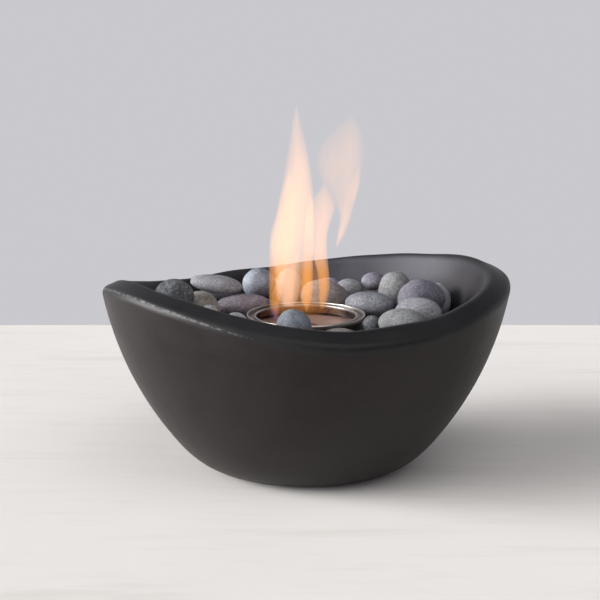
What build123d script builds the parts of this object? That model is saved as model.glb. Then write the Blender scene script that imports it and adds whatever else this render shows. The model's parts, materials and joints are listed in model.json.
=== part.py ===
from build123d import *
import math
import os
import numpy as np

# A tabletop fire bowl: a cast bowl with a wavy rim, a gel fuel can standing in the middle,
# its flame, and river stones heaped round the can.
# Millimetres. The origin is on the table under the middle of the bowl, +Z is up, and +X
# runs along the two high points of the rim.

# Bowl: outside
foot_radius = 66.0
hip_radius = 98.0
hip_height = 25.5
mouth_radius = 148.5
mouth_height = 150.0
foot_slope = 16.3
mouth_slope = 83.4
foot_edge_radius = 2.0

# Bowl: inside
floor_thickness = 49.0
floor_radius = 76.0
floor_slope = 24.0
waist_radius = 104.0
waist_height = 77.0
mouth_wall = 19.0
seat_depth = 30.0
seat_clearance = 1.0

# Bowl: wavy rim, as heights of its outer edge
rim_height = 127.6
rim_radius = 141.0
wave_rise = 12.7
drift_rise = 3.2
drift_bearing = -52.0
tilt_rise = 5.7
tilt_bearing = -79.0
rim_fall = 0.56
rim_edge_radius = 6.0
cutter_margin = 20.0
cutter_marks = 13

# Pads under the foot
pad_radius = 8.0
pad_thickness = 3.0
pad_stand = 1.0
pad_ring_radius = 44.0
pad_count = 4
pad_clearance = 0.3

# Fuel can
can_radius = 43.0
can_height = 90.0
sheet = 0.4
seam_width = 1.5
seam_height = 3.2
channel_depth = 3.4
lip_radius = 36.0
lip_drop = 0.8
lip_curl = 0.8
plug_depth = 6.5
gel_level = 9.0
gel_clearance = 0.3

# Stones: the room between them, how far they keep from the can, and how far they slip.
# Bearings and turns are counted from the right hand of a viewer who stands at view_turn.
# Outward is 0 beside the can and 1 beside the bowl's wall.
stone_gap = 0.36
can_keep_out = 0.8
heap_height = 112.0
bed_slips = (4.0, 2.0, 1.0)
top_slips = (1.0,)
slip_ways = 8
skin_points = 600
view_turn = -27.0

# Rings of bed stones, as outward, size, first bearing and tilt
bed_counts = (6, 9, 6)
BED = [
    (0.5, (56, 42, 31), 10, 0),
    (1.0, (56, 34, 31), 0, 0),
    (0.0, (44, 26, 22), 20, 0),
]

# Stones along the wall, as bearing, outward, size, turn, tilt, lean and bluntness
EDGE = [
    (-107, 1.0, (34, 24, 16), -20, 0, 0, 0.5),
    (-88, 1.0, (32, 24, 15), 5, 0, 0, 0.45),
    (-70, 1.0, (30, 24, 17), 20, 0, 0, 0.5),
    (-20, 1.0, (28, 22, 17), 70, 0, 0, 0.5),
    (209, 0.75, (32, 26, 20), -60, 0, 0, 0.5),
    (100, 1.0, (34, 22, 18), 5, 0, 0, 0.5),
    (80, 1.0, (28, 20, 15), -15, 0, 0, 0.5),
    (130, 1.0, (34, 26, 17), 40, 0, 0, 0.5),
    (157, 1.0, (30, 24, 15), 60, 0, 0, 0.5),
]

# Stones at the top of the heap, with the same values
TOP = [
    (138, 0.04, (46, 24, 18), 26, 4, 0, 0.45),
    (218, 0.15, (21, 18, 24), 10, 0, 0, 0.5),
    (-27, 0.06, (14, 13, 16), 0, 0, 0, 0.5),
    (-71, 0.12, (30, 22, 16), 0, 0, 0, 0.5),
    (35, 0.0, (40, 25, 19), 155, 0, 0, 0.5),
    (78, 0.0, (38, 27, 20), -12, 8, 50, 0.55),
    (99, 0.25, (44, 22, 24), 80, 65, 0, 0.5),
    (115.5, 0.55, (26, 26, 25), 0, 0, 0, 0.5),
    (69, 0.6, (22, 20, 18), 0, 0, 0, 0.5),
    (58, 0.7, (19, 19, 14), 0, 0, 0, 0.5),
    (43, 0.65, (26, 24, 31), 0, 0, 0, 0.5),
    (24, 1.0, (24, 20, 28), 115, 0, 0, 0.5),
    (11, 0.66, (37, 30, 30), 20, 0, 0, 0.55),
    (-9, 0.5, (35, 26, 24), -5, 0, 0, 0.5),
    (-31.5, 0.42, (35, 25, 21), -15, 0, 0, 0.5),
    (-55, 0.52, (19, 19, 22), 0, 0, 0, 0.5),
    (-99, 0.0, (25, 23, 24), 10, 8, 0, 0.55),
    (173, 0.45, (38, 30, 30), 80, 0, 0, 0.5),
    (187.5, 0.72, (29, 28, 26), 15, 0, 0, 0.5),
    (203, 0.41, (17, 17, 24), 0, 0, 0, 0.5),
    (144.5, 0.42, (41, 24, 14), -4, 8, 0, 0.45),
]

# Flame, drawn from the same viewer: each tongue as height over the gel, middle and half sizes
film = 0.7
MAIN_TONGUE = [
    (0, -5, 0, 19, 17),
    (20, -5, 0, 22.5, 19),
    (43, -8, 1, 18, 17),
    (67, -12, 2, 14, 14),
    (102, -6.7, 0, 10.6, 10),
    (120, -6.1, -1, 8.4, 8),
    (141, -6.4, 0, 4.3, 4.3),
    (158, -6.4, 1, 1.1, 1.1),
]
SIDE_TONGUE = [
    (8, 4, -2, 12, 12),
    (36, 5, -3, 11.7, 12),
    (63, 9, -4, 6.2, 7),
    (88, 14, -3, 8.2, 6),
    (104, 13.1, -2, 1.1, 1.1),
]
WISP = [
    (57, 11, 0, 3, 3),
    (69, 21, 4, 4, 4),
    (84, 27, 7, 7, 5),
    (104, 28, 9, 10.5, 5),
    (130, 26, 10, 14, 5),
    (148, 29, 10, 2, 2),
]

seat_height = pad_stand + floor_thickness - seat_depth
floor_height = pad_stand + floor_thickness
can_top = seat_height + can_height
gel_top = can_top - gel_level
stock_top = max(mouth_height, rim_height) + wave_rise + drift_rise + tilt_rise + cutter_margin
STAND = (Align.CENTER, Align.CENTER, Align.MIN)


def heading(degrees):
    """A unit step in the profile plane, at an angle above the horizontal."""
    return (math.cos(math.radians(degrees)), math.sin(math.radians(degrees)))


def outside_line():
    """The bowl's outer outline, from the edge of its foot to its mouth."""
    return Spline(
        (foot_radius, pad_stand),
        (hip_radius, hip_height),
        (mouth_radius, mouth_height),
        tangents=[heading(foot_slope), heading(mouth_slope)],
    )


def cavity_line():
    """The bowl's inner outline, from the edge of its floor to its mouth."""
    return Spline(
        (floor_radius, floor_height),
        (waist_radius, waist_height),
        (mouth_radius - mouth_wall, mouth_height),
        tangents=[heading(floor_slope), heading(mouth_slope)],
    )


def turned(line):
    """A solid of revolution under an outline, which runs on straight above the mouth."""
    start = line @ 0
    end = line @ 1
    run_on = Vector(*heading(mouth_slope)) * (stock_top - end.Y) / heading(mouth_slope)[1]
    outline = line + Polyline(end, end + run_on, (0, stock_top), (0, start.Y), start)
    return revolve(Plane.XZ * make_face(outline), Axis.Z)


def rim_top(x, y):
    """Height of the rim's top face over a point: a two-peaked wave that also leans."""
    share = math.hypot(x, y) / rim_radius
    bearing = math.atan2(y, x)
    wave = wave_rise * share**2 * math.cos(2 * bearing)
    drift = drift_rise * share**3 * math.cos(3 * (bearing - math.radians(drift_bearing)))
    tilt = tilt_rise * share * math.cos(bearing - math.radians(tilt_bearing))
    return rim_height + wave + drift + tilt - rim_fall * rim_radius * (share - 1)


def rim_cutter():
    """All of the stock above the rim's wavy top face."""
    reach = mouth_radius + cutter_margin
    marks = np.linspace(-reach, reach, cutter_marks)
    points = [[(x, y, rim_top(x, y)) for y in marks] for x in marks]
    return extrude(Face.make_surface_from_array_of_points(points), amount=stock_top, dir=(0, 0, 1))


def make_bowl():
    """The casting: outside and cavity turned, rim cut to the wave, seat and pad sockets sunk."""
    body = turned(outside_line()) - turned(cavity_line()) - rim_cutter()
    foot = body.edges().filter_by(GeomType.CIRCLE).sort_by(Axis.Z)[0]
    body = fillet(foot, foot_edge_radius)
    rim_face = body.faces().sort_by(Axis.Z)[-1]
    body = fillet(rim_face.edges(), rim_edge_radius)
    seat = Cylinder(can_radius + seat_clearance, seat_depth + 1, align=STAND)
    body -= Pos(0, 0, seat_height) * seat
    for x, y in pad_spots():
        body -= Pos(x, y, 0) * Cylinder(pad_radius + pad_clearance, pad_thickness, align=STAND)
    return body


def pad_spots():
    """Centres of the pads under the foot."""
    bearings = [math.radians(45 + k * 360 / pad_count) for k in range(pad_count)]
    return [(pad_ring_radius * math.cos(b), pad_ring_radius * math.sin(b)) for b in bearings]


def make_pads():
    """The pads, stuck in their sockets and standing proud of the foot."""
    return Compound([Pos(x, y, 0) * Cylinder(pad_radius, pad_thickness, align=STAND) for x, y in pad_spots()])


def bar(inner, outer, low, high):
    """A rectangle in the profile plane, by its radii and heights."""
    return Pos((inner + outer) / 2, (low + high) / 2) * Rectangle(outer - inner, high - low)


def spun(profile):
    """A profile drawn as radius and height, turned about the can's axis."""
    return revolve(Plane.XZ * profile, Axis.Z)


def seam(low):
    """A rolled double seam, at one end of the can."""
    middle = (can_radius - seam_width / 2, low + seam_height / 2)
    return Pos(*middle) * RectangleRounded(seam_width, seam_height, seam_width * 0.45)


def make_can_body():
    """The can's drawn wall, between its two seams."""
    outer = can_radius - seam_width / 3
    return spun(bar(outer - sheet, outer, seat_height + seam_height, can_top - seam_height))


def make_can_base():
    """The can's bottom end: a seam round a panel that stands clear of the seat."""
    inner = can_radius - seam_width
    panel_low = seat_height + seam_height / 2
    return spun(seam(seat_height) + bar(0, inner + seam_width / 2, panel_low, panel_low + sheet))


def make_can_ring():
    """The can's top end: seam, sunk channel and the curled lip that a lid plugs into."""
    inner = can_radius - seam_width
    channel = can_top - channel_depth
    lip_top = can_top - lip_drop
    profile = seam(can_top - seam_height)
    profile += bar(lip_radius + lip_curl, inner + sheet, channel, channel + 2 * sheet)
    profile += bar(lip_radius + lip_curl, lip_radius + lip_curl + 2 * sheet, channel, lip_top - lip_curl)
    profile += Pos(lip_radius + lip_curl, lip_top - lip_curl) * Circle(lip_curl)
    profile += bar(lip_radius, lip_radius + 2 * sheet, can_top - plug_depth, lip_top - lip_curl)
    return spun(profile)


def make_gel():
    """The fuel, filled to below the lip's plug wall."""
    low = seat_height + seam_height / 2 + sheet
    radius = can_radius - seam_width - gel_clearance
    return Pos(0, 0, low) * Cylinder(radius, gel_top - low, align=STAND)


class Stone:
    """A river stone: an egg with a long and a short end, flatter than it is wide."""

    def __init__(self, bearing, outward, size, turn, tilt, lean=0, blunt=0.5):
        length, width, height = size
        self.half = np.array([length * blunt, width / 2, height / 2])
        self.tail = length * (1 - blunt)
        self.facing = Rot(0, 0, turn) * Rot(0, tilt, 0) * Rot(lean, 0, 0)
        self.axes = np.array([[*(self.facing * Pos(*step)).position] for step in np.eye(3)]).T
        self.radius = max(*self.half, self.tail) + stone_gap
        self.bearing = math.radians(bearing)
        self.outward = outward
        self.centre = np.zeros(3)

    def ends(self, grow):
        """Half sizes of the blunt end and of the tail end, each grown by a margin."""
        front = self.half + grow
        return front, np.array([self.tail + grow, front[1], front[2]])

    def girth(self, step):
        """How far the stone reaches from its centre along a flat direction."""
        local = self.axes.T @ [step[0], step[1], 0]
        front, back = self.ends(0)
        return np.linalg.norm(local * (front if local[0] > 0 else back))

    def skin(self, grow):
        """Points spread evenly over the stone's surface."""
        front, back = self.ends(grow)
        size = np.where(SPHERE[:, :1] > 0, front, back)
        return self.centre + (SPHERE * size) @ self.axes.T

    def chord(self, spots, grow):
        """The stone's lowest and highest points over each flat spot, or no number beside it."""
        start = np.column_stack([spots - self.centre[:2], np.zeros(len(spots))]) @ self.axes
        up = self.axes[2]
        low = np.full(len(spots), np.nan)
        high = np.full(len(spots), np.nan)
        for size, side in zip(self.ends(grow), (1, -1)):
            u = start / size
            v = up / size
            steep = v @ v
            middle = -(u @ v) / steep
            spread = middle**2 - ((u * u).sum(axis=1) - 1) / steep
            root = np.sqrt(np.where(spread >= 0, spread, np.nan))
            for climb in (middle - root, middle + root):
                here = side * (start[:, 0] + climb * up[0]) >= 0
                climb = np.where(here, climb, np.nan)
                low = np.fmin(low, climb)
                high = np.fmax(high, climb)
        return self.centre[2] + low, self.centre[2] + high

    def solid(self):
        """The stone's own solid, where it lies."""
        arcs = EllipticalCenterArc((0, 0), self.half[0], self.half[1], 0, arc_size=90)
        arcs += EllipticalCenterArc((0, 0), self.tail, self.half[1], 90, arc_size=90)
        outline = make_face(arcs + Line((-self.tail, 0), (self.half[0], 0)))
        egg = scale(revolve(outline, Axis.X), by=(1, 1, self.half[2] / self.half[1]))
        return Pos(*self.centre) * self.facing * egg


def even_sphere(count):
    """Points spread evenly over a unit ball, on a spiral."""
    k = np.arange(count) + 0.5
    height = 1 - 2 * k / count
    angle = math.pi * (1 + 5**0.5) * k
    ring = np.sqrt(1 - height**2)
    return np.column_stack([ring * np.cos(angle), ring * np.sin(angle), height])


SPHERE = even_sphere(skin_points)
CAVITY = [cavity_line() @ share for share in np.linspace(0, 1, 60)]
CAVITY_RADII = [point.X for point in CAVITY]
CAVITY_HEIGHTS = [point.Y for point in CAVITY]


def rest_height(stone, heap):
    """How high a stone comes to rest when it is let down from above."""
    half_gap = stone_gap / 2
    skin = stone.skin(half_gap)
    far = np.hypot(skin[:, 0], skin[:, 1]) + half_gap
    wall = np.interp(far, CAVITY_RADII, CAVITY_HEIGHTS) + half_gap
    height = (wall - skin[:, 2]).max()
    for other in heap:
        if np.hypot(*(other.centre - stone.centre)[:2]) < stone.radius + other.radius:
            theirs = other.skin(half_gap)
            lift = other.chord(skin[:, :2], half_gap)[1] - skin[:, 2]
            lower = theirs[:, 2] - stone.chord(theirs[:, :2], half_gap)[0]
            height = np.nanmax(np.concatenate([[height], lift, lower]))
    return height


def clears_can(stone):
    """Whether a stone stands clear of the straight way that the can is lifted out by."""
    far = np.hypot(*stone.centre[:2])
    return far - stone.girth(-stone.centre / far) >= can_radius + can_keep_out


def settle(stone, heap, slips):
    """Lower a stone between the can and the wall, and let it slip towards lower ground."""
    step = np.array([math.cos(stone.bearing), math.sin(stone.bearing), 0])
    near = can_radius + can_keep_out + stone.girth(-step)
    far = np.interp(heap_height, CAVITY_HEIGHTS, CAVITY_RADII) - stone.girth(step)
    spot = step * (near + stone.outward * (far - near))
    stone.centre = spot
    lowest = rest_height(stone, heap)
    for slip in slips:
        for k in range(slip_ways):
            bearing = 2 * math.pi * k / slip_ways
            stone.centre = spot + slip * np.array([math.cos(bearing), math.sin(bearing), 0])
            height = rest_height(stone, heap) if clears_can(stone) else lowest
            if height < lowest:
                spot = stone.centre
                lowest = height
    stone.centre = spot + np.array([0, 0, lowest])


def heap_stones():
    """Every stone in its resting place, by name: the bed, the edge, then the top of the heap."""
    named = {}
    for count, (outward, size, first, tilt) in zip(bed_counts, BED):
        for k in range(count):
            bearing = first + k * 360 / count + view_turn
            stone = Stone(bearing, outward, size, bearing + 90, tilt)
            settle(stone, named.values(), bed_slips)
            named[f"bed_stone_{len(named) + 1:02}"] = stone
    for kind, rows in (("edge_stone", EDGE), ("stone", TOP)):
        for number, (bearing, outward, size, turn, tilt, lean, blunt) in enumerate(rows, 1):
            stone = Stone(bearing + view_turn, outward, size, turn + view_turn, tilt, lean, blunt)
            settle(stone, named.values(), top_slips)
            named[f"{kind}_{number:02}"] = stone
    return named


def tongue(stations, inset):
    """One tongue of the flame, or the space inside its film."""
    sections = []
    for height, x, y, wide, deep in stations:
        spot = Pos(x, y, gel_top + height - inset)
        sections.append(spot * Ellipse(wide - inset, deep - inset))
    return loft(sections)


def fire(inset):
    """The flame's three tongues run together."""
    main, *others = [tongue(stations, inset) for stations in (MAIN_TONGUE, SIDE_TONGUE, WISP)]
    return main + others


def make_flame():
    """The flame as a see-through film, open at its foot."""
    return Rot(0, 0, view_turn) * (fire(0) - fire(film))


def save(node, shape):
    """Write one sub-part."""
    export_step(shape, f"parts/{node}.step")


os.makedirs("parts", exist_ok=True)
save("bowl", make_bowl())
save("foot_pads", make_pads())
save("can_body", make_can_body())
save("can_base", make_can_base())
save("can_ring", make_can_ring())
save("gel_fuel", make_gel())
save("flame", make_flame())
for node, stone in heap_stones().items():
    save(node, stone.solid())
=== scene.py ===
import json
import math
import random

import bpy
import bmesh
import numpy as np
from mathutils import Matrix, Vector, noise
from mathutils.bvhtree import BVHTree


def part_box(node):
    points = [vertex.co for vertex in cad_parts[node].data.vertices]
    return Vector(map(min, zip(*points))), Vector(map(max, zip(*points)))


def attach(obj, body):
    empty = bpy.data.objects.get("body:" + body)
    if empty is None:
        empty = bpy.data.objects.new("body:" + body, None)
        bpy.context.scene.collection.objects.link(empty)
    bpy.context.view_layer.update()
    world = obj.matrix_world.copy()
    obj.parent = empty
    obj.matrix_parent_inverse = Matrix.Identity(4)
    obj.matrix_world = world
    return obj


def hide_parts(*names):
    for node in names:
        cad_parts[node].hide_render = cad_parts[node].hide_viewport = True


# The looks of the tabletop fire bowl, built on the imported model. Metres, in the packed
# model's frame, where nothing else is said. The photograph looks from VIEW_TURN, and "seen"
# turns its axes (right, away, up) into the frame's.

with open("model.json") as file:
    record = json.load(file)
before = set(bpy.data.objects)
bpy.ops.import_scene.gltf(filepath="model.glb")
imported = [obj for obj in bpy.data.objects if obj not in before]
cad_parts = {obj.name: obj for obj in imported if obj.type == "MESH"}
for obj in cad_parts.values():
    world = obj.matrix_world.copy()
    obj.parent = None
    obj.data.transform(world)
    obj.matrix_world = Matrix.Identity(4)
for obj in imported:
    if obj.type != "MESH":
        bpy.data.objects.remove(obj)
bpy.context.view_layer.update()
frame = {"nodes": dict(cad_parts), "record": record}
can_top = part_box("can_ring")[1][2]

# The camera, fitted to the can's ring and to the bowl's rim
VIEW_TURN = math.radians(-27)
CAMERA_RISE = math.radians(11.6)
CAMERA_DISTANCE = 1.1
RING_WIDTH = 86
RING_PIXELS = 119.1
MM_PER_PIXEL = RING_WIDTH / RING_PIXELS
RING_PIXEL = (305.9, 313.5)
PICTURE = 600
SENSOR = 36.0

scene = bpy.context.scene
scene.view_settings.view_transform = "Standard"
scene.cycles.transparent_max_bounces = 32


def seen(right, away, up):
    """A point in millimetres, as the photograph's viewer counts, as a point of the frame."""
    turn = Matrix.Rotation(VIEW_TURN, 3, "Z")
    return turn @ Vector((right, away, up)) / 1000


# Nodes of a material or of the room

def make(mat, kind, sockets=None, **settings):
    """A shader node, with its settings and with each named socket linked or set."""
    node = mat.node_tree.nodes.new("ShaderNode" + kind)
    for key, value in settings.items():
        setattr(node, key, value)
    for key, value in (sockets or {}).items():
        if isinstance(value, bpy.types.NodeSocket):
            mat.node_tree.links.new(value, node.inputs[key])
        else:
            node.inputs[key].default_value = value
    return node


def blank(name):
    """A material with only its output node."""
    mat = bpy.data.materials.new(name)
    mat.use_nodes = True
    mat.node_tree.nodes.clear()
    make(mat, "OutputMaterial")
    return mat


def show(mat, surface, socket="Surface"):
    """Link a shader to the material's output."""
    output = next(n for n in mat.node_tree.nodes if n.type == "OUTPUT_MATERIAL")
    mat.node_tree.links.new(surface, output.inputs[socket])


def place(mat):
    """Where a point lies in the frame."""
    return make(mat, "TexCoord").outputs["Object"]


def speckle(mat, scale, detail=4.0, rough=0.55, where=None, bend=0.0):
    """A noise over the frame, from 0 to 1."""
    sockets = {"Vector": where or place(mat), "Scale": scale, "Detail": detail}
    sockets.update({"Roughness": rough, "Distortion": bend})
    return make(mat, "TexNoise", sockets).outputs["Fac"]


def ramp(mat, value, low, high, start=0.0, end=1.0, smooth=True):
    """A value from low to high spread over start to end, kept within them."""
    sockets = {"Value": value, "From Min": low, "From Max": high, "To Min": start, "To Max": end}
    kind = "SMOOTHSTEP" if smooth else "LINEAR"
    return make(mat, "MapRange", sockets, interpolation_type=kind).outputs["Result"]


def sums(mat, operation, *values):
    """One arithmetic step."""
    return make(mat, "Math", dict(enumerate(values)), operation=operation).outputs[0]


def mixed(mat, share, one, other):
    """Two colours mixed by a share."""
    node = make(mat, "Mix", {"Factor": share}, data_type="RGBA")
    for socket, value in ((node.inputs[6], one), (node.inputs[7], other)):
        if isinstance(value, bpy.types.NodeSocket):
            mat.node_tree.links.new(value, socket)
        else:
            socket.default_value = (*value, 1.0)
    return node.outputs[2]


def bumped(mat, height, strength, distance):
    """A surface normal, raised by a height."""
    sockets = {"Height": height, "Strength": strength, "Distance": distance}
    return make(mat, "Bump", sockets).outputs["Normal"]


def stretched(mat, where, scales):
    """A place with its axes scaled one by one."""
    return make(mat, "VectorMath", {0: where, 1: scales}, operation="MULTIPLY").outputs[0]


def height_of(mat, where):
    """How high a point lies over the table."""
    return make(mat, "SeparateXYZ", {"Vector": where}).outputs["Z"]


def from_axis(mat, where):
    """How far a point lies from the upright line through the bowl's middle."""
    flat = stretched(mat, where, (1.0, 1.0, 0.0))
    return make(mat, "VectorMath", {0: flat}, operation="LENGTH").outputs["Value"]


def towards(mat, where, first, waves=1):
    """The cosine of how far round a point lies from a bearing, in degrees."""
    parts = make(mat, "SeparateXYZ", {"Vector": where}).outputs
    bearing = sums(mat, "ARCTAN2", parts["Y"], parts["X"])
    angle = sums(mat, "MULTIPLY", sums(mat, "SUBTRACT", bearing, math.radians(first)), waves)
    return sums(mat, "COSINE", angle)


# The bowl's material. Its inner side lies within two cones, each a slope and a radius at the
# table, and over the floor. The rim's edge has a middle height and waves, each a rise, a
# count and a bearing. Each look has a dark and a light tone.

INNER_CONES = ((0.1157, 0.1145), (0.3, 0.0949))
INNER_FLOOR = (0.045, 0.049)
RIM_HEIGHT = 0.1255
RIM_WAVES = ((0.0136, 2, 0), (0.0035, 3, -52), (0.0059, 1, -79))
RIM_CREASE = 0.0019
# The warm tones of the outside are a painted reflection of the table, and the cool tones of the rim
# a painted reflection of the wall.
TABLE_REFLECTING_CASTING = ((0.0085, 0.0058, 0.0054), (0.0152, 0.0116, 0.0110))
WALL_REFLECTING_CASTING = ((0.0080, 0.0083, 0.0094), (0.0155, 0.0158, 0.0174))
# The pale tones of the inside are dust and painted light. The bearing is where that painted light is
# strongest, on the inside's lit back wall.
DUST_AND_LIGHT_CASTING = ((0.033, 0.0325, 0.042), (0.058, 0.057, 0.072))
CASTING_GRAIN = (0.05, 0.049, 0.051)
# The pinholes' near-black is painted shade inside the holes.
PINHOLE_SHADE = (0.003, 0.003, 0.003)
# The scuff tone is wear and a painted highlight on the crease where the light falls.
SCUFF_AND_HIGHLIGHT = (0.17, 0.167, 0.17)
LIT_INSIDE_BEARING = 40
LIT_CREASE_BEARING = -165
PINHOLE_CELLS = 75
PINHOLE_SHARE = (0.86, 0.87)
PINHOLE_EDGE = (0.03, 0.06)


def inside_bowl(mat, where):
    """1 on the bowl's inner wall and floor, 0 on its rim and outside."""
    height = height_of(mat, where)
    cones = [sums(mat, "MULTIPLY_ADD", height, slope, radius) for slope, radius in INNER_CONES]
    within = sums(mat, "SUBTRACT", sums(mat, "MINIMUM", *cones), from_axis(mat, where))
    return sums(mat, "MULTIPLY", ramp(mat, within, -0.001, 0.003), ramp(mat, height, *INNER_FLOOR))


def below_rim(mat, where):
    """How far a point lies below the rim's outer edge, which waves as it does in the part."""
    edge = RIM_HEIGHT
    for rise, waves, first in RIM_WAVES:
        edge = sums(mat, "MULTIPLY_ADD", towards(mat, where, first, waves), rise, edge)
    return sums(mat, "SUBTRACT", edge, height_of(mat, where))


def scuffed_and_lit(mat, where, below):
    """1 in the pale specks along the rim's crease on its lit side, which are wear and a painted
    highlight, 0 elsewhere.
    """
    from_crease = sums(mat, "ABSOLUTE", sums(mat, "SUBTRACT", below, RIM_CREASE))
    near_edge = ramp(mat, from_crease, 0.0002, 0.0011, 1, 0)
    lit_part = ramp(mat, towards(mat, where, LIT_CREASE_BEARING), 0.79, 0.96)
    rubbed = ramp(mat, speckle(mat, 420, 4, 0.75, where, 0.5), 0.45, 0.6)
    return sums(mat, "MULTIPLY", sums(mat, "MULTIPLY", near_edge, lit_part), rubbed)


def pinholes(mat, where):
    """1 in the few round holes that bubbles left in the casting, 0 elsewhere."""
    cells = make(mat, "TexVoronoi", {"Vector": where, "Scale": PINHOLE_CELLS}).outputs
    draw = make(mat, "SeparateColor", {0: cells["Color"]}).outputs[0]
    hole = ramp(mat, cells["Distance"], *PINHOLE_EDGE, 1, 0)
    return sums(mat, "MULTIPLY", hole, ramp(mat, draw, *PINHOLE_SHARE))


def cast_bowl():
    """Matte charcoal casting: dark outside with painted reflections of the table and the wall, paler
    inside with dust and painted light, with pinholes darkened by painted shade and a scuffed edge
    that carries a painted highlight.
    """
    mat = blank("charcoal_casting")
    where = place(mat)
    cloud = speckle(mat, 16, 5, 0.6, where, 0.4)
    grain = speckle(mat, 900, 3, 0.6, where)
    inside = inside_bowl(mat, where)
    below = below_rim(mat, where)
    holes = pinholes(mat, where)
    patchy = ramp(mat, cloud, 0.35, 0.7)
    table_reflecting = mixed(mat, patchy, *TABLE_REFLECTING_CASTING)
    wall_reflecting = mixed(mat, patchy, *WALL_REFLECTING_CASTING)
    pale = mixed(mat, patchy, *DUST_AND_LIGHT_CASTING)
    # Below the rim's edge the casting takes the painted reflection of the table, above it that of
    # the wall.
    dark = mixed(mat, ramp(mat, below, 0.001, 0.006), wall_reflecting, table_reflecting)
    # The inside is paler with dust and painted light, fully so towards the lit bearing and at 0.3 of
    # that elsewhere.
    lit_inside = ramp(mat, towards(mat, where, LIT_INSIDE_BEARING), 0.70, 0.93, 0.3, 1.0)
    colour = mixed(mat, sums(mat, "MULTIPLY", inside, lit_inside), dark, pale)
    colour = mixed(mat, ramp(mat, grain, 0.55, 0.8, 0, 0.3), colour, CASTING_GRAIN)
    # The pale specks on the lit crease are wear and a painted highlight.
    colour = mixed(mat, sums(mat, "MULTIPLY", scuffed_and_lit(mat, where, below), 0.7), colour, SCUFF_AND_HIGHLIGHT)
    # The holes are darkened with painted shade.
    colour = mixed(mat, holes, colour, PINHOLE_SHADE)
    height = sums(mat, "MULTIPLY_ADD", grain, 0.5, speckle(mat, 120, 4, 0.6, where))
    height = sums(mat, "SUBTRACT", height, sums(mat, "MULTIPLY", holes, 4.0))
    gloss = ramp(mat, cloud, 0.3, 0.7, 0.40, 0.52)
    surface = make(mat, "BsdfPrincipled", {
        "Base Color": colour,
        "Roughness": sums(mat, "MULTIPLY_ADD", inside, 0.1, gloss),
        "Specular IOR Level": 0.26,
        "Normal": bumped(mat, height, 0.3, 0.0003),
    })
    show(mat, surface.outputs[0])
    return mat


# The can's steel, with the radii between which its throat and its channel begin

TIN = ((0.62, 0.60, 0.58), (0.46, 0.40, 0.36))
# The throat's dark tone is painted shade. Its orange tone and the violet are painted reflections of
# the flame, each strongest towards its bearing.
THROAT_SHADE_AND_REFLECTION = ((0.08, 0.07, 0.072), (0.38, 0.20, 0.12))
VIOLET_REFLECTION_TIN = (0.07, 0.06, 0.11)
SOOT = (0.03, 0.024, 0.024)
# The channel's dark tone is painted shade in the trough.
CHANNEL_SHADE = (0.06, 0.052, 0.05)
THROAT_EDGE = (0.0364, 0.0369)
CHANNEL_EDGE = (0.0374, 0.0379)
ORANGE_REFLECTION_BEARING = 75
VIOLET_REFLECTION_BEARING = 170


def steel():
    """Tinned steel, a little stained, with a sooty throat in painted shade that holds painted orange
    and violet reflections of the flame, and a channel darkened by painted shade.
    """
    mat = blank("can_steel")
    where = place(mat)
    stain = speckle(mat, 30, 3, 0.5, where, 0.3)
    colour = mixed(mat, ramp(mat, stain, 0.4, 0.8), *TIN)
    far = from_axis(mat, where)
    sunk = ramp(mat, height_of(mat, where), can_top - 0.0032, can_top - 0.0012, 1, 0)
    throat = sums(mat, "MULTIPLY", ramp(mat, far, *THROAT_EDGE, 1, 0), sunk)
    channel = sums(mat, "MULTIPLY", ramp(mat, far, *CHANNEL_EDGE), sunk)
    orange_reflection = ramp(mat, towards(mat, where, ORANGE_REFLECTION_BEARING), 0.3, 0.95)
    violet_reflection = ramp(mat, towards(mat, where, VIOLET_REFLECTION_BEARING), 0.6, 0.95)
    sooty = ramp(mat, speckle(mat, 620, 3, 0.7, where), 0.45, 0.62, 0, 0.6)
    # The throat is painted shade with painted reflections of the flame, under speckled soot.
    shade_and_reflection = mixed(mat, violet_reflection, mixed(mat, orange_reflection, *THROAT_SHADE_AND_REFLECTION), VIOLET_REFLECTION_TIN)
    colour = mixed(mat, throat, colour, mixed(mat, sooty, shade_and_reflection, SOOT))
    # The channel is darkened with painted shade.
    colour = mixed(mat, sums(mat, "MULTIPLY", channel, 0.8), colour, CHANNEL_SHADE)
    surface = make(mat, "BsdfPrincipled", {
        "Base Color": colour,
        "Metallic": 1.0,
        "Roughness": ramp(mat, speckle(mat, 90, 3, 0.5, where), 0.3, 0.7, 0.28, 0.40),
    })
    show(mat, surface.outputs[0])
    return mat


def rubber():
    """Matte black rubber."""
    mat = blank("pad_rubber")
    grain = speckle(mat, 1500, 2)
    surface = make(mat, "BsdfPrincipled", {
        "Base Color": mixed(mat, grain, (0.02, 0.02, 0.02), (0.035, 0.034, 0.033)),
        "Roughness": 0.8,
        "Normal": bumped(mat, grain, 0.2, 0.0002),
    })
    show(mat, surface.outputs[0])
    return mat


def gel():
    """Alcohol gel, amber and wet."""
    mat = blank("gel")
    swirl = speckle(mat, 60, 4, 0.5, None, 0.8)
    surface = make(mat, "BsdfPrincipled", {
        "Base Color": mixed(mat, swirl, (0.27, 0.18, 0.16), (0.38, 0.27, 0.24)),
        "Roughness": 0.42,
        "Normal": bumped(mat, swirl, 0.15, 0.002),
    })
    show(mat, surface.outputs[0])
    return mat


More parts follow.
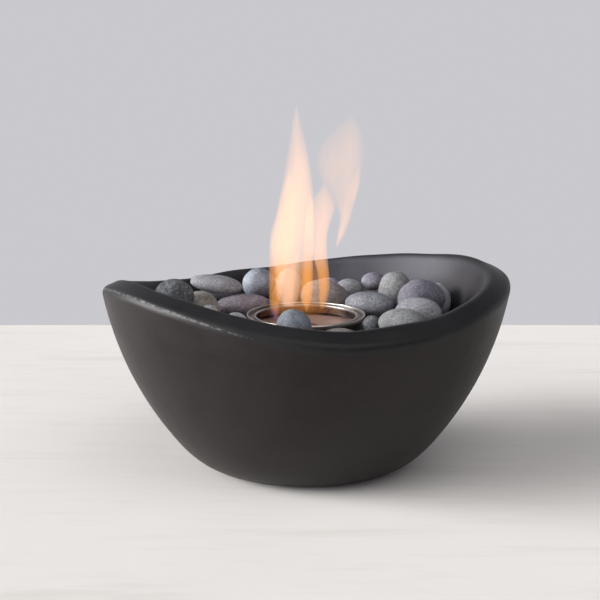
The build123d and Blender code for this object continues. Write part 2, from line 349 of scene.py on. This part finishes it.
def river_stone(name, dark, light, spotted, size):
    """A water-worn stone: two tones, dark grains, pale flecks of a share and size, rough skin."""
    mat = blank(name)
    where = place(mat)
    tone = speckle(mat, 48, 6, 0.62, where, 0.8)
    grain = speckle(mat, size * 2.4, 3, 0.7, where)
    fleck = speckle(mat, size, 3, 0.85, where, 0.3)
    patch = ramp(mat, speckle(mat, 30, 2, 0.5, where, 0.4), 0.42, 0.62, spotted * 0.9, 1)
    colour = mixed(mat, ramp(mat, tone, 0.3, 0.7), dark, light)
    colour = mixed(mat, ramp(mat, grain, 0.46, 0.62, 0, 0.6), colour, [c * 0.4 for c in dark])
    share = sums(mat, "MULTIPLY", ramp(mat, fleck, 0.52, 0.60, 0, spotted), patch)
    colour = mixed(mat, share, colour, FLECK)
    height = sums(mat, "MULTIPLY_ADD", speckle(mat, 170, 5, 0.65, where), 1.8, grain)
    surface = make(mat, "BsdfPrincipled", {
        "Base Color": colour,
        "Roughness": ramp(mat, grain, 0.3, 0.7, 0.55, 0.8),
        "Normal": bumped(mat, height, 0.55, 0.0006),
    })
    show(mat, surface.outputs[0])
    return mat


# A stone's flecks as a share and a size, and each kind of stone's dark and light tone
FLECK = (0.55, 0.56, 0.57)
BOLD_FLECKS = (0.65, 640)
FAINT_FLECKS = (0.3, 420)
STONES = {
    "mauve": ((0.155, 0.140, 0.175), (0.318, 0.288, 0.345)),
    "pale_grey": ((0.236, 0.240, 0.263), (0.425, 0.428, 0.463)),
    "slate": ((0.053, 0.057, 0.068), (0.112, 0.118, 0.138)),
    "brown_grey": ((0.142, 0.124, 0.125), (0.254, 0.224, 0.225)),
    "speckled_dark": ((0.099, 0.105, 0.129), (0.237, 0.251, 0.298)),
    "rose_grey": ((0.283, 0.218, 0.218), (0.413, 0.330, 0.325)),
    "blue_grey": ((0.153, 0.171, 0.207), (0.277, 0.307, 0.363)),
    "speckled_grey": ((0.171, 0.175, 0.196), (0.317, 0.321, 0.357)),
    "purple_grey": ((0.127, 0.120, 0.155), (0.238, 0.229, 0.287)),
    "green_grey": ((0.147, 0.153, 0.160), (0.283, 0.290, 0.300)),
    "olive": ((0.177, 0.171, 0.151), (0.319, 0.307, 0.269)),
}

looks = {"charcoal_casting": cast_bowl(), "can_steel": steel(), "pad_rubber": rubber(), "gel": gel()}
for name, (dark, light) in STONES.items():
    flecks = BOLD_FLECKS if "speckled" in name else FAINT_FLECKS
    looks[name] = river_stone(name + "_stone", dark, light, *flecks)

record = frame["record"]
slot_of = {row["node"]: row["material_slot"] for row in record["subparts"]}
body_of = {node: body for body, nodes in record["behaviour"]["bodies"].items() for node in nodes}
for node in ("bowl", "foot_pads", "can_body", "can_base", "can_ring", "gel_fuel"):
    piece = frame["nodes"][node]
    piece.data.materials.clear()
    piece.data.materials.append(looks[slot_of[node]])


# Stones

# A stone's count of flats, their depth as a share of its size, and its ball's fineness
BED_PEBBLE = (6, 0.07, 4)
TOP_PEBBLE = (7, 0.08, 5)
FLATTEN = 0.8
DIPS_PER_METRE = 70
DIP_DEPTH = 0.035


def worn(points, rng, facets, depth):
    """Wear flats and dips into a stone, always inward, so that it stays within its CAD solid."""
    middle = sum(points, Vector()) / len(points)
    points = [p - middle for p in points]
    for _ in range(facets):
        way = Vector([rng.gauss(0, 1) for _ in range(3)]).normalized()
        most = max(p.dot(way) for p in points)
        edge = most * (1 - depth * rng.uniform(0.4, 1))
        points = [p - way * max(0, p.dot(way) - edge) * FLATTEN for p in points]
    shift = Vector([rng.uniform(-9, 9) for _ in range(3)])
    out = []
    for p in points:
        dip = 0.5 - 0.5 * noise.noise(p * DIPS_PER_METRE + shift)
        out.append(p * (1 - DIP_DEPTH * dip) + middle)
    return out


def pebble(node, facets, depth, fine):
    """A stone for one of the CAD's eggs, as a ball of even faces drawn onto it."""
    solid = frame["nodes"][node].data
    faces = [face.vertices for face in solid.polygons]
    tree = BVHTree.FromPolygons([vert.co for vert in solid.vertices], faces)
    low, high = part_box(node)
    middle = (Vector(low) + Vector(high)) / 2
    ball = bmesh.new()
    bmesh.ops.create_icosphere(ball, subdivisions=fine, radius=1)
    points = [tree.ray_cast(middle, v.co.normalized())[0] for v in ball.verts]
    rng = random.Random(node)
    for vert, point in zip(ball.verts, worn(points, rng, facets, depth)):
        vert.co = point
    for face in ball.faces:
        face.smooth = True
    mesh = bpy.data.meshes.new("pebble_" + node)
    ball.to_mesh(mesh)
    ball.free()
    piece = bpy.data.objects.new("pebble_" + node, mesh)
    scene.collection.objects.link(piece)
    mesh.materials.append(looks[slot_of[node]])
    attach(piece, body_of[node])
    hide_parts(node)


for node in sorted(frame["nodes"]):
    if node.startswith("bed_stone"):
        pebble(node, *BED_PEBBLE)
    elif node.startswith(("edge_stone", "stone")):
        pebble(node, *TOP_PEBBLE)


# Flame, as the viewer sees it, in millimetres. Each tongue's rows are height over the gel,
# left edge, right edge and half depth.

MAIN_TONGUE = [
    (14, -17, -9, 1),
    (20, -21, -5, 5),
    (28, -21.5, -3.5, 7),
    (38, -22, -3, 9),
    (46, -23, -2, 9),
    (56, -25, -0.5, 10),
    (67, -26, 2.5, 12),
    (76, -22.8, 5, 12),
    (90, -19.5, 6, 11),
    (102, -17.3, 4.6, 9),
    (115, -14.6, 2.9, 8),
    (129, -12.2, 0.2, 6),
    (140, -10.4, -2.2, 4),
    (151, -9.2, -4.6, 2.3),
    (157.5, -6.8, -6.2, 0.3),
]
LEFT_TONGUE = [
    (5, -23, -20, 1),
    (14, -26, -19, 4),
    (30, -26.8, -17, 6),
    (45, -26.8, -13, 8),
    (60, -26.4, -8, 9),
    (75, -22.8, -7, 8),
    (90, -19, -7, 5),
    (103, -15.5, -8.5, 3),
    (112, -12.2, -11.6, 0.3),
]
MIDDLE_TONGUE = [
    (10, -0.5, 1.5, 1),
    (18, -3.5, 3.8, 4),
    (30, -4, 5, 5),
    (45, -3.4, 5, 6),
    (60, -2, 5.6, 6),
    (75, -1, 6, 5),
    (87, 1, 5.4, 3),
    (96, 3, 3.6, 0.3),
]
SIDE_TONGUE = [
    (13, 10, 13, 1),
    (20, 9, 15.5, 4),
    (30, 9, 17.2, 6),
    (43, 7.5, 16.4, 7),
    (56, 3.5, 15.4, 8),
    (69, 2, 15.8, 7),
    (79, 2, 18.6, 7),
    (88, 3.5, 22, 6.5),
    (94, 5.5, 18.8, 5),
    (99, 9.5, 16, 3),
    (104.5, 12.7, 13.3, 0.3),
]
WISP = [
    (56, 21.6, 22.2, 0.3),
    (66, 22.5, 28.5, 2),
    (76, 24, 31.8, 3.5),
    (84, 23, 33.8, 4.5),
    (95, 17, 37.2, 6),
    (105, 11, 39.2, 7),
    (117, 7, 40.6, 7),
    (128, 9, 40.9, 6),
    (137, 16, 39.8, 5),
    (145, 25, 37.2, 3),
    (151, 31.5, 32.1, 0.3),
]
WISP_FOLD = [
    (56, 21.6, 22.2, 0.3),
    (66, 22.5, 28, 1.5),
    (76, 25.5, 31.5, 2.5),
    (84, 26, 33.6, 3),
    (95, 28, 37, 3.4),
    (105, 32, 38.8, 3),
    (115, 37.5, 38.1, 0.3),
]
VEIL = [
    (0, -22, 9, 12),
    (8, -27, 13, 15),
    (22, -27, 15.5, 16),
    (40, -26.8, 16.5, 14),
    (52, -26.6, 12, 10),
    (62, -24, 2, 6),
    (72, -16, -12, 0.3),
]
gel_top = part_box("gel_fuel")[1][2] * 1000
PEACH = (1.0, 0.60, 0.40)
AMBER = (1.0, 0.40, 0.09)
WARM = (1.0, 0.55, 0.28)
BLUE_FOOT = (0.16, 0.12, 0.42)
DULL = 0.45

# Heights over the can's top between which the gas grows dense, takes its colour and pales,
# and how far left its foot is blue
GROWS_DENSE = (-0.008, 0.008)
TAKES_COLOUR = (-0.004, 0.010)
PALES = (0.026, 0.050)
BLUE_SIDE = (-0.026, -0.016)


def over_can(mat, height, band, *ends):
    """A ramp over a band of heights that are counted from the can's top."""
    return ramp(mat, height, can_top + band[0], can_top + band[1], *ends)


def gas_colour(name, colour, glow, veil, thickness=0.0):
    """Burning gas: a film in upright streaks, blue at its foot on the left and paler above.
    With a thickness, the room inside the film glows and dims too."""
    mat = blank(name)
    where = place(mat)
    upright = stretched(mat, where, (1.0, 1.0, 0.22))
    streaks = ramp(mat, speckle(mat, 75, 2, 0.5, upright, 0.6), 0.34, 0.66, 0.3, 1.0)
    height = height_of(mat, where)
    rightward = {0: where, 1: seen(1000, 0, 0)}
    across = make(mat, "VectorMath", rightward, operation="DOT_PRODUCT").outputs["Value"]
    dull = [channel * DULL for channel in colour]
    foot_tint = mixed(mat, ramp(mat, across, *BLUE_SIDE), BLUE_FOOT, dull)
    low_tint = mixed(mat, over_can(mat, height, TAKES_COLOUR), foot_tint, colour)
    tint = mixed(mat, over_can(mat, height, PALES), low_tint, PEACH)
    light = make(mat, "Emission", {"Color": tint, "Strength": glow}).outputs[0]
    clear = make(mat, "BsdfTransparent").outputs[0]
    share = sums(mat, "MULTIPLY", streaks, veil)
    show(mat, make(mat, "MixShader", {0: share, 1: clear, 2: light}).outputs[0])
    if thickness:
        dense = over_can(mat, height, GROWS_DENSE, 0, thickness)
        strength = sums(mat, "MULTIPLY", dense, glow)
        shine = make(mat, "Emission", {"Color": tint, "Strength": strength}).outputs[0]
        dim = make(mat, "VolumeAbsorption", {"Color": (0, 0, 0, 1), "Density": dense}).outputs[0]
        show(mat, make(mat, "AddShader", {0: shine, 1: dim}).outputs[0], "Volume")
    return mat


# How a tongue's outline is smoothed, and how its inner layers are lower, sway and fold
SMOOTHINGS = 7
INNER_LIFT = 3
INNER_HEIGHT = 0.62
UNDER_TIP = 0.999
SWAY = 2.2
SWAY_LENGTH = 22
FOLD = 0.13
MOST_FOLD = 1.02
FOLDS_AROUND = 1.6
FOLD_LENGTH = 30


def tongue_rings(rows, away, share, seed, rings=90, around=48):
    """The rings of one layer of a tongue, drawn in towards its middle by a share."""
    table = np.array(rows, float)
    heights = np.linspace(table[0, 0], table[-1, 0], rings)
    left, right, deep = [np.interp(heights, table[:, 0], table[:, k]) for k in (1, 2, 3)]
    for line in (left, right, deep):
        for _ in range(SMOOTHINGS):
            line[1:-1] = (line[:-2] + 2 * line[1:-1] + line[2:]) / 4
    foot = heights[0] + (1 - share) * INNER_LIFT
    tall = (INNER_HEIGHT + (1 - INNER_HEIGHT) * share) * UNDER_TIP
    angles = [2 * math.pi * k / around for k in range(around)]
    ways = [(math.cos(angle), math.sin(angle)) for angle in angles]
    rings_out = []
    for height, west, east, half in zip(heights, left, right, deep):
        level = foot + (height - heights[0]) * tall
        sway = noise.noise(Vector((level / SWAY_LENGTH, seed, 0))) * SWAY * (1 - share)
        middle = (west + east) / 2 + sway
        wide = (east - west) / 2 * share
        ring = []
        for across, back in ways:
            spot = (FOLDS_AROUND * across, FOLDS_AROUND * back, level / FOLD_LENGTH + seed)
            fold = min(1 + FOLD * noise.noise(Vector(spot)), MOST_FOLD)
            x = middle + wide * fold * across
            y = away + half * share * fold * back
            ring.append(seen(x, y, gel_top + level))
        rings_out.append(ring)
    return rings_out


def closed_tube(mesh, rings):
    """Add a tube through the rings, closed at both ends."""
    verts = [[mesh.verts.new(point) for point in ring] for ring in rings]
    around = len(verts[0])
    for low, high in zip(verts, verts[1:]):
        for k in range(around):
            mesh.faces.new((low[k], low[(k + 1) % around], high[(k + 1) % around], high[k]))
    mesh.faces.new(verts[0][::-1])
    mesh.faces.new(verts[-1])


def gas_piece(name, layers, mat):
    """A piece of the flame, made of closed layers."""
    bag = bmesh.new()
    for rings in layers:
        closed_tube(bag, rings)
    for face in bag.faces:
        face.smooth = True
    mesh = bpy.data.meshes.new(name)
    bag.to_mesh(mesh)
    bag.free()
    mesh.materials.append(mat)
    piece = bpy.data.objects.new(name, mesh)
    scene.collection.objects.link(piece)
    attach(piece, "fuel_can")
    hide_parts("flame")


# Each tongue's name, rows and how far away it stands, its layers' shares, and its colour, glow,
# film and thickness
TONGUES = (
    ("main_tongue", MAIN_TONGUE, 0, (1.0, 0.88, 0.76, 0.64, 0.52, 0.4), PEACH, 1.7, 0.045, 14),
    ("left_tongue", LEFT_TONGUE, -4, (1.0, 0.8, 0.6, 0.4), AMBER, 1.6, 0.04, 20),
    ("middle_tongue", MIDDLE_TONGUE, 3, (1.0, 0.75, 0.5), AMBER, 1.7, 0.05, 34),
    ("side_tongue", SIDE_TONGUE, -3, (1.0, 0.8, 0.6, 0.4), AMBER, 1.6, 0.04, 20),
    ("wisp", WISP, 8, (1.0, 0.85, 0.7, 0.55, 0.4), WARM, 1.6, 0.02, 7),
    ("wisp_fold", WISP_FOLD, 8, (1.0, 0.75, 0.5), WARM, 1.6, 0.02, 13),
    ("veil", VEIL, 0, (1.0, 0.8, 0.6), AMBER, 1.2, 0.025, 5),
)
SEED_STEP = 3.7

for name, rows, away, shares, colour, glow, veil, thickness in TONGUES:
    seeds = [SEED_STEP * k + len(rows) for k in range(len(shares))]
    layers = [tongue_rings(rows, away, share, seed) for share, seed in zip(shares, seeds)]
    gas_piece(name + "_layers", layers[1:], gas_colour(name + "_film", colour, glow, veil))
    gas_piece(name, layers[:1], gas_colour(name + "_body", colour, glow, veil, thickness))


# Camera, light and surroundings

def aim(thing, target):
    """Turn a camera or a lamp towards a point."""
    thing.rotation_mode = "QUATERNION"
    thing.rotation_quaternion = (target - thing.location).to_track_quat("-Z", "Y")


focal = CAMERA_DISTANCE * 1000 / MM_PER_PIXEL
forward = seen(0, 1000 * math.cos(CAMERA_RISE), -1000 * math.sin(CAMERA_RISE))
right = seen(1000, 0, 0)
up = right.cross(forward)
ring_top = Vector((0, 0, can_top))
aside = (RING_PIXEL[0] - PICTURE / 2) / focal * CAMERA_DISTANCE
below = (PICTURE / 2 - RING_PIXEL[1]) / focal * CAMERA_DISTANCE
camera = bpy.data.objects.new("camera", bpy.data.cameras.new("camera"))
camera.location = ring_top - forward * CAMERA_DISTANCE - right * aside - up * below
aim(camera, camera.location + forward)
camera.data.sensor_width = SENSOR
camera.data.lens = focal / PICTURE * SENSOR
camera.data.clip_end = 50
scene.collection.objects.link(camera)
scene.camera = camera


LIT_SPOT = (0, 0, 110)


def lamp(name, spot, spread, power, colour):
    """A broad, even light from the side where a spot lies, with a spread in radians and a power
    in watts per square metre."""
    data = bpy.data.lights.new(name, "SUN")
    data.angle = spread
    data.energy = power
    data.color = colour
    thing = bpy.data.objects.new(name, data)
    thing.location = seen(*spot)
    aim(thing, seen(*LIT_SPOT))
    scene.collection.objects.link(thing)


lamp("key", (-2400, -1110, 1400), 0.87, 1.35, (1.0, 0.985, 0.965))
lamp("window", (-1950, -150, 420), 0.73, 7.5, (0.99, 0.985, 0.98))
lamp("fill", (700, -1300, 2300), 0.91, 0.76, (1.0, 0.99, 0.98))

# The room's colour, the heights between which it darkens, and how dark it gets overhead and,
# in reflections, on the viewer's side
WALL_COLOUR = (0.585, 0.58, 0.615, 1)
DARKENS = (0.20, 0.62)
OVERHEAD = 0.3
VIEWER_SIDE = 0.2


def light_room():
    """A grey room that is darker overhead, and darker in reflections from the viewer's side."""
    room = bpy.data.worlds.new("room")
    scene.world = room
    room.use_nodes = True
    way = make(room, "TexCoord").outputs["Generated"]
    fade = ramp(room, height_of(room, way), *DARKENS, 1.0, OVERHEAD)
    near_side = {0: way, 1: seen(350, -930, 0)}
    near = make(room, "VectorMath", near_side, operation="DOT_PRODUCT").outputs["Value"]
    soft = ramp(room, near, 0.0, 1.0, 1.0, VIEWER_SIDE, smooth=False)
    diffuse = make(room, "LightPath").outputs["Is Diffuse Ray"]
    strength = sums(room, "MULTIPLY", fade, sums(room, "MAXIMUM", soft, diffuse))
    backdrop = room.node_tree.nodes["Background"]
    backdrop.inputs["Color"].default_value = WALL_COLOUR
    room.node_tree.links.new(strength, backdrop.inputs["Strength"])


light_room()


def slab(name, corners, mat):
    """A flat sheet that is part of the surroundings."""
    mesh = bpy.data.meshes.new(name)
    mesh.from_pydata([seen(*c) for c in corners], [], [tuple(range(len(corners)))])
    mesh.materials.append(mat)
    piece = bpy.data.objects.new(name, mesh)
    scene.collection.objects.link(piece)


# The table's boards in a dark and a light tone, their grain and their streaks
BOARDS = ((0.76, 0.735, 0.71), (0.83, 0.805, 0.78))
BOARD_GRAIN = (0.55, 0.51, 0.47)
BOARD_STREAK = (0.62, 0.59, 0.55)
TABLE_REACH = 4000
TABLE_BACK = 456


def table_top():
    """Whitewashed wood, matte, with faint grain along its boards."""
    mat = blank("table_top")
    turned = {"Vector": place(mat), "Angle": -VIEW_TURN}
    where = make(mat, "VectorRotate", turned, rotation_type="Z_AXIS").outputs[0]
    along = stretched(mat, where, (0.12, 1.0, 1.0))
    cloud = speckle(mat, 6, 3, 0.5, where)
    grain = speckle(mat, 90, 5, 0.6, along, 0.3)
    streak = speckle(mat, 22, 4, 0.6, along, 0.5)
    colour = mixed(mat, cloud, *BOARDS)
    colour = mixed(mat, ramp(mat, grain, 0.5, 0.75, 0, 0.15), colour, BOARD_GRAIN)
    colour = mixed(mat, ramp(mat, streak, 0.55, 0.70, 0, 0.38), colour, BOARD_STREAK)
    surface = make(mat, "BsdfPrincipled", {
        "Base Color": colour,
        "Roughness": 0.7,
        "Specular IOR Level": 0.0,
        "Normal": bumped(mat, grain, 0.2, 0.0004),
    })
    show(mat, surface.outputs[0])
    return mat


front_edge = [(-TABLE_REACH, -TABLE_REACH, 0), (TABLE_REACH, -TABLE_REACH, 0)]
back_edge = [(TABLE_REACH, TABLE_BACK, 0), (-TABLE_REACH, TABLE_BACK, 0)]
slab("table", front_edge + back_edge, table_top())
